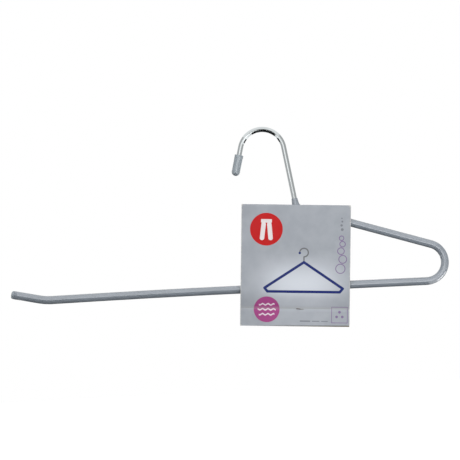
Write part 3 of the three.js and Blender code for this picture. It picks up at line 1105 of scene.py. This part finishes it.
def card_wear_and_ridge_highlight(g, p, place, x, z):
    """How far the print pales to the worn board colour, from 0 to 1: wear at the corners and sides,
    and a painted highlight along the crease's ridge.
    """
    corner_x, foot_z = CARD_WIDTH / 2, CREASE_Z - FRONT_FLAP
    corners = p.either(
        p.disc(-corner_x, 0, CORNER_WEAR_TOP[0]),
        p.disc(corner_x, 0, CORNER_WEAR_TOP[1]),
        p.disc(-corner_x, foot_z, CORNER_WEAR_FOOT),
        p.disc(corner_x, foot_z, CORNER_WEAR_FOOT),
    )
    corners = ragged(g, corners, place, scale=0.9, level=0.5, swing=3.5)
    paled = g.times(p.ink(corners, soft=0.8), 0.7)
    edge = g.minus(corner_x - SIDE_WEAR, g.size(x))
    edge = ragged(g, edge, place, scale=0.5, level=0.55, swing=2.0)
    paled = g.higher(paled, g.times(p.ink(edge, soft=0.4), 0.45))
    # Painted highlight: a lighter band along the crease's ridge
    ridge_highlight = g.size(g.minus(z, CREASE_Z + RIDGE_HIGHLIGHT_RISE))
    return g.higher(paled, g.times(g.span(ridge_highlight, (0.3, 1.5), (1, 0)), 0.16))


def card_material():
    """Coated board: printed skin with a soft gloss, faint mottling and worn corners, and painted
    light: a glow held up over the sloping panel, a painted shade at the top-left corner and a
    painted highlight on the crease's ridge.
    """
    g = Graph("printed_board")
    x, z, side = g.split(g.scale(g.attribute("sheet"), 1 / MM))
    place = g.add("ShaderNodeCombineXYZ", {0: x, 1: z}).outputs[0]
    mottle = g.noise(place, scale=0.09, detail=4)
    grain = g.noise(place, scale=6.0)
    base = g.blend(g.span(mottle, NOISE_RANGE, (0, 1)), SILVER_DARK, SILVER_LIGHT)
    p = Print(g, place)
    # The glow is partly print and partly painted light over the sloping panel
    printed = printed_colour(p, g.blend(glow_and_painted_light(g, x, z), base, GLOW_COLOUR))
    shade = g.blend(g.math("LESS_THAN", side, -SIDE_MARK / 2), base, printed)
    # Painted shade: darker round the top-left corner
    top_left_shade = g.span(p.disc(*TOP_LEFT_SHADE_PLACE, 0), (5, 13), (0.35, 0))
    shade = g.blend(top_left_shade, shade, TOP_LEFT_SHADE)
    # Worn corners and sides, and the painted highlight on the crease's ridge
    paled = card_wear_and_ridge_highlight(g, p, place, x, z)
    g.set(Base_Color=g.blend(paled, shade, WORN_BOARD_AND_HIGHLIGHT))
    g.set(Roughness=g.span(mottle, NOISE_RANGE, (0.36, 0.46)), Specular_IOR_Level=0.25)
    height = g.plus(g.times(grain, 0.4), g.times(g.noise(place, scale=0.25, detail=3), 1.0))
    g.bump(height, distance=0.00006, strength=0.5)
    return g.material


def board_material(name, lighter):
    """Raw grey-brown board, on the inner face and on the cut edges."""
    g = Graph(name)
    place = g.scale(g.attribute("sheet"), 1 / MM)
    fibre = g.noise(g.stretch(place, (1, 1, 3)), scale=1.4, detail=5, roughness=0.7)
    shade = g.blend(fibre, FIBRE_DARK, FIBRE_LIGHT)
    g.set(Base_Color=g.blend(lighter, shade, CUT_BOARD), Roughness=0.9)
    g.bump(g.noise(place, scale=3.0, detail=4), distance=0.00008, strength=0.6)
    return g.material


def staple_material():
    """Dull steel with brown rust towards its left end, darkened there as painted shade where the
    staple sinks into the pinched card.
    """
    g = Graph("staple_steel")
    flow = g.scale(g.attribute("flow"), 1 / MM)
    rust = g.noise(flow, scale=1.1, detail=4, roughness=0.6)
    along = g.split(flow)[0]
    # Rust and painted shade grow towards the left end
    leftward = g.times(along, -0.3)
    reach = g.plus(leftward, g.times(g.minus(rust, 0.5), 1.6))
    rust_and_shade = g.span(reach, (-0.45, 0.5), (0, 1))
    g.set(Base_Color=g.blend(rust_and_shade, STEEL, RUST_AND_SHADE))
    g.set(Metallic=g.minus(1.0, rust_and_shade), Roughness=g.span(rust_and_shade, (0, 1), (0.35, 0.75)))
    g.bump(rust, distance=0.00003, strength=0.6)
    return g.material


def dress(made, body, slot_name, nodes, *materials):
    """Gives a piece its materials, its body and the CAD nodes it stands for. slot_name is not used.
    """
    turn_faces_out(made)
    for material in materials:
        made.data.materials.append(material)
    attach(made, body)
    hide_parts(*nodes)


def make_object():
    chrome = chrome_material()
    sleeve_look = {"grain": 1600, "relief": 0.12, "wear": 0.2}
    cap_look = {"grain": 1200, "relief": 0.06, "wear": 0.08}
    grey = vinyl_material("sleeve_vinyl", SLEEVE_LIGHT, SLEEVE_DARK, **sleeve_look)
    cap = vinyl_material("cap_vinyl", CAP_LIGHT, CAP_DARK, **cap_look)
    dress(make_wire(), "hanger", "chromed_wire", ["steel_wire"], chrome)
    dress(make_sleeve(), "hanger", "grey_vinyl", ["grip_sleeve"], grey)
    dress(make_tip_cap(), "hanger", "cap_vinyl", ["hook_tip_cap"], cap)
    dress(make_end_plug(), "hanger", "cap_vinyl", ["bar_end_plug"], cap)
    inner = board_material("raw_board", 0.0)
    cut = board_material("cut_board", 0.35)
    dress(make_card(), "card", "silver_card", ["folded_card"], card_material(), inner, cut)
    dress(make_staple(), "card", "staple_steel", ["card_staple"], staple_material())


# Stage
FLOOR_Z = -300
FLOOR_SIZE = 3000
FLOOR_LIGHT = 0.8
FLOOR_GREY = 0.3
FLOOR_FADE = (0.14, 0.3)
FLOOR_FADE_SHAPE = (0.6, 1, 0)
AMBIENT = 0.05

# Lamps: name, place, sides and radiance
LAMP_AIM = (-40, 0, -110)
LAMPS = [
    ("high_left", (-650, -510, 790), (700, 600), 5.0),
    ("front", (-40, -1160, 80), (700, 740), 2.2),
    ("high_front", (-40, -850, 740), (700, 500), 1.9),
    ("low_right", (880, -770, -60), (700, 500), 6.4),
    ("back_left", (-700, 1100, 300), (700, 700), 5.6),
    ("back_right", (700, 1100, 300), (700, 700), 5.6),
]


def level_panel(x, y, z):
    """Corners of a level panel at height z, over the ranges x and y."""
    return [(x[0], y[0], z), (x[1], y[0], z), (x[1], y[1], z), (x[0], y[1], z)]


def facing_panel(x, y, z):
    """Corners of an upright panel at depth y, over the ranges x and z."""
    return [(x[0], y, z[0]), (x[1], y, z[0]), (x[1], y, z[1]), (x[0], y, z[1])]


def side_panel(x, y, z):
    """Corners of an upright panel at x, over the ranges y and z."""
    return [(x, y[0], z[0]), (x, y[1], z[0]), (x, y[1], z[1]), (x, y[0], z[1])]


def crown_band(inner, outer, half_angle, y, steps=12):
    """Corners of a flat band that follows the hook's crown, in front of it."""
    angles = [half_angle * (2 * k / steps - 1) for k in range(steps + 1)]
    rows = []
    for r in (inner, outer):
        rows.append([(r * math.sin(a), y, CROWN_Z + r * math.cos(a)) for a in angles])
    return rows[0] + rows[1][::-1]


# Panels that only gloss shows: name, brightness and corners
DARK = 0.01
DARK_Z = FLOOR_Z + 2
LEFT_SHADE = [(-262, -60, DARK_Z), (-10, -60, DARK_Z), (-10, -60, -133), (-262, -60, -130)]
RIGHT_SHADE = [(-10, -300, DARK_Z), (330, -300, DARK_Z), (-10, -300, -160)]
CROWN_SHADE = crown_band(CROWN_RADIUS - 3, CROWN_RADIUS + 13, math.radians(36), -60)
STRIP = [(-400, -1000, -95), (-70, -1100, -95), (-70, -1100, 100), (-400, -1000, 100)]
NOSE_GLINT = [(176, -13, -139), (157, -13, -158), (157, -2, -158), (176, -2, -139)]
REFLECTOR_PANELS = [
    ("dark_field", DARK, level_panel((-262, 165), (-1300, 500), DARK_Z)),
    ("dark_strip_left", DARK, level_panel((-690, -370), (-500, 900), DARK_Z)),
    ("dark_strip_right", DARK, level_panel((350, 610), (-400, 900), DARK_Z)),
    ("dark_far", DARK, facing_panel((-300, 45), -1600, (DARK_Z, -60))),
    ("dark_left", DARK, LEFT_SHADE),
    ("dark_right", DARK, RIGHT_SHADE),
    ("left_panel", 0.55, side_panel(-700, (-1500, 600), (-350, 600))),
    ("right_panel", 0.5, side_panel(700, (-1500, 600), (-350, 600))),
    ("strip_light", 1.7, STRIP),
    ("right_glow", 2.6, facing_panel((60, 240), -1000, (DARK_Z, -75))),
    ("dark_crown", DARK, CROWN_SHADE),
    ("nose_side", 0.7, side_panel(156, (-0.5, 14), (-136, -122))),
    ("nose_glint", 6.5, NOSE_GLINT),
]


def stage_sheet(name, corners):
    """A flat sheet of the stage through corners given in millimetres."""
    mesh = bpy.data.meshes.new(name)
    points = [[c * MM for c in corner] for corner in corners]
    mesh.from_pydata(points, [], [tuple(range(len(points)))])
    made = link_object(name, mesh)
    return made


def seen_directly(tree):
    """1 for rays from the camera, from gloss and through glass, and 0 for all others."""
    rays = tree.nodes.new("ShaderNodeLightPath")
    seen = rays.outputs["Is Camera Ray"]
    for other in ("Is Glossy Ray", "Is Transmission Ray"):
        either = tree.nodes.new("ShaderNodeMath")
        either.operation = "MAXIMUM"
        tree.links.new(seen, either.inputs[0])
        tree.links.new(rays.outputs[other], either.inputs[1])
        seen = either.outputs[0]
    return seen


def floor_material():
    """Pale floor that keeps a shadow under the object and fades to white around it."""
    g = Graph("pale_floor")
    seen = seen_directly(g.tree)
    place = g.stretch(g.add("ShaderNodeTexCoord").outputs["Object"], FLOOR_FADE_SHAPE)
    away = g.span(g.vector("LENGTH", place), FLOOR_FADE, (0, 1))
    light = g.plus(FLOOR_LIGHT, g.times(away, 1 - FLOOR_LIGHT))
    g.set(Base_Color=(FLOOR_GREY, FLOOR_GREY, FLOOR_GREY, 1))
    g.set(Roughness=0.9, Specular_IOR_Level=0.0)
    g.set(Emission_Color=(1, 1, 1, 1), Emission_Strength=g.times(seen, light))
    return g.material


def reflector_panel(name, level, corners):
    """A panel of even brightness that only glossy rays meet."""
    made = stage_sheet(name, corners)
    g = Graph(name)
    g.set(Base_Color=(0, 0, 0, 1), Specular_IOR_Level=0.0, Roughness=1.0)
    g.set(Emission_Color=(1, 1, 1, 1), Emission_Strength=level)
    made.data.materials.append(g.material)
    made.visible_camera = False
    made.visible_diffuse = False
    made.visible_shadow = False
    made.visible_transmission = False


def area_light(name, place, sides, radiance):
    """A rectangular lamp as bright as radiance, where 1 is white. Gloss doesn't show it."""
    data = bpy.data.lights.new(name, "AREA")
    data.shape = "RECTANGLE"
    data.size, data.size_y = [side * MM for side in sides]
    data.energy = radiance * math.pi * data.size * data.size_y
    turn = (Vector(LAMP_AIM) - Vector(place)).to_track_quat("-Z", "Y").to_euler()
    link_object(name, data, place, turn).visible_glossy = False


def make_world():
    """White to the camera, to gloss and through glass, and a weak even light otherwise."""
    world = bpy.data.worlds.new("studio")
    world.use_nodes = True
    tree = world.node_tree
    back = tree.nodes["Background"]
    seen = seen_directly(tree)
    level = tree.nodes.new("ShaderNodeMapRange")
    level.inputs["To Min"].default_value = AMBIENT
    level.inputs["To Max"].default_value = 1.0
    tree.links.new(seen, level.inputs["Value"])
    tree.links.new(level.outputs[0], back.inputs["Strength"])
    back.inputs["Color"].default_value = (1, 1, 1, 1)
    bpy.context.scene.world = world


def make_stage():
    reach = FLOOR_SIZE / 2
    floor = stage_sheet("floor", level_panel((-reach, reach), (-reach, reach), FLOOR_Z))
    floor.data.materials.append(floor_material())
    for panel in REFLECTOR_PANELS:
        reflector_panel(*panel)
    make_world()
    for lamp in LAMPS:
        area_light(*lamp)


def make_camera():
    """A long lens, square on to the hanger and rolled with it."""
    data = bpy.data.cameras.new("camera")
    data.sensor_width = SENSOR_WIDTH
    data.lens = SENSOR_WIDTH * CAMERA_DISTANCE / (PHOTO_PIXELS * MM_PER_PIXEL)
    camera = link_object("camera", data)
    right = Vector((math.cos(ROLL), 0, -math.sin(ROLL)))
    up = Vector((math.sin(ROLL), 0, math.cos(ROLL)))
    turn = Matrix((right, up, right.cross(up))).transposed().to_4x4()
    place = Vector((AIM_X, -CAMERA_DISTANCE, AIM_Z)) * MM
    camera.matrix_world = Matrix.Translation(place) @ turn
    bpy.context.scene.camera = camera


make_camera()
make_object()
make_stage()
bpy.context.scene.view_settings.view_transform = "Standard"
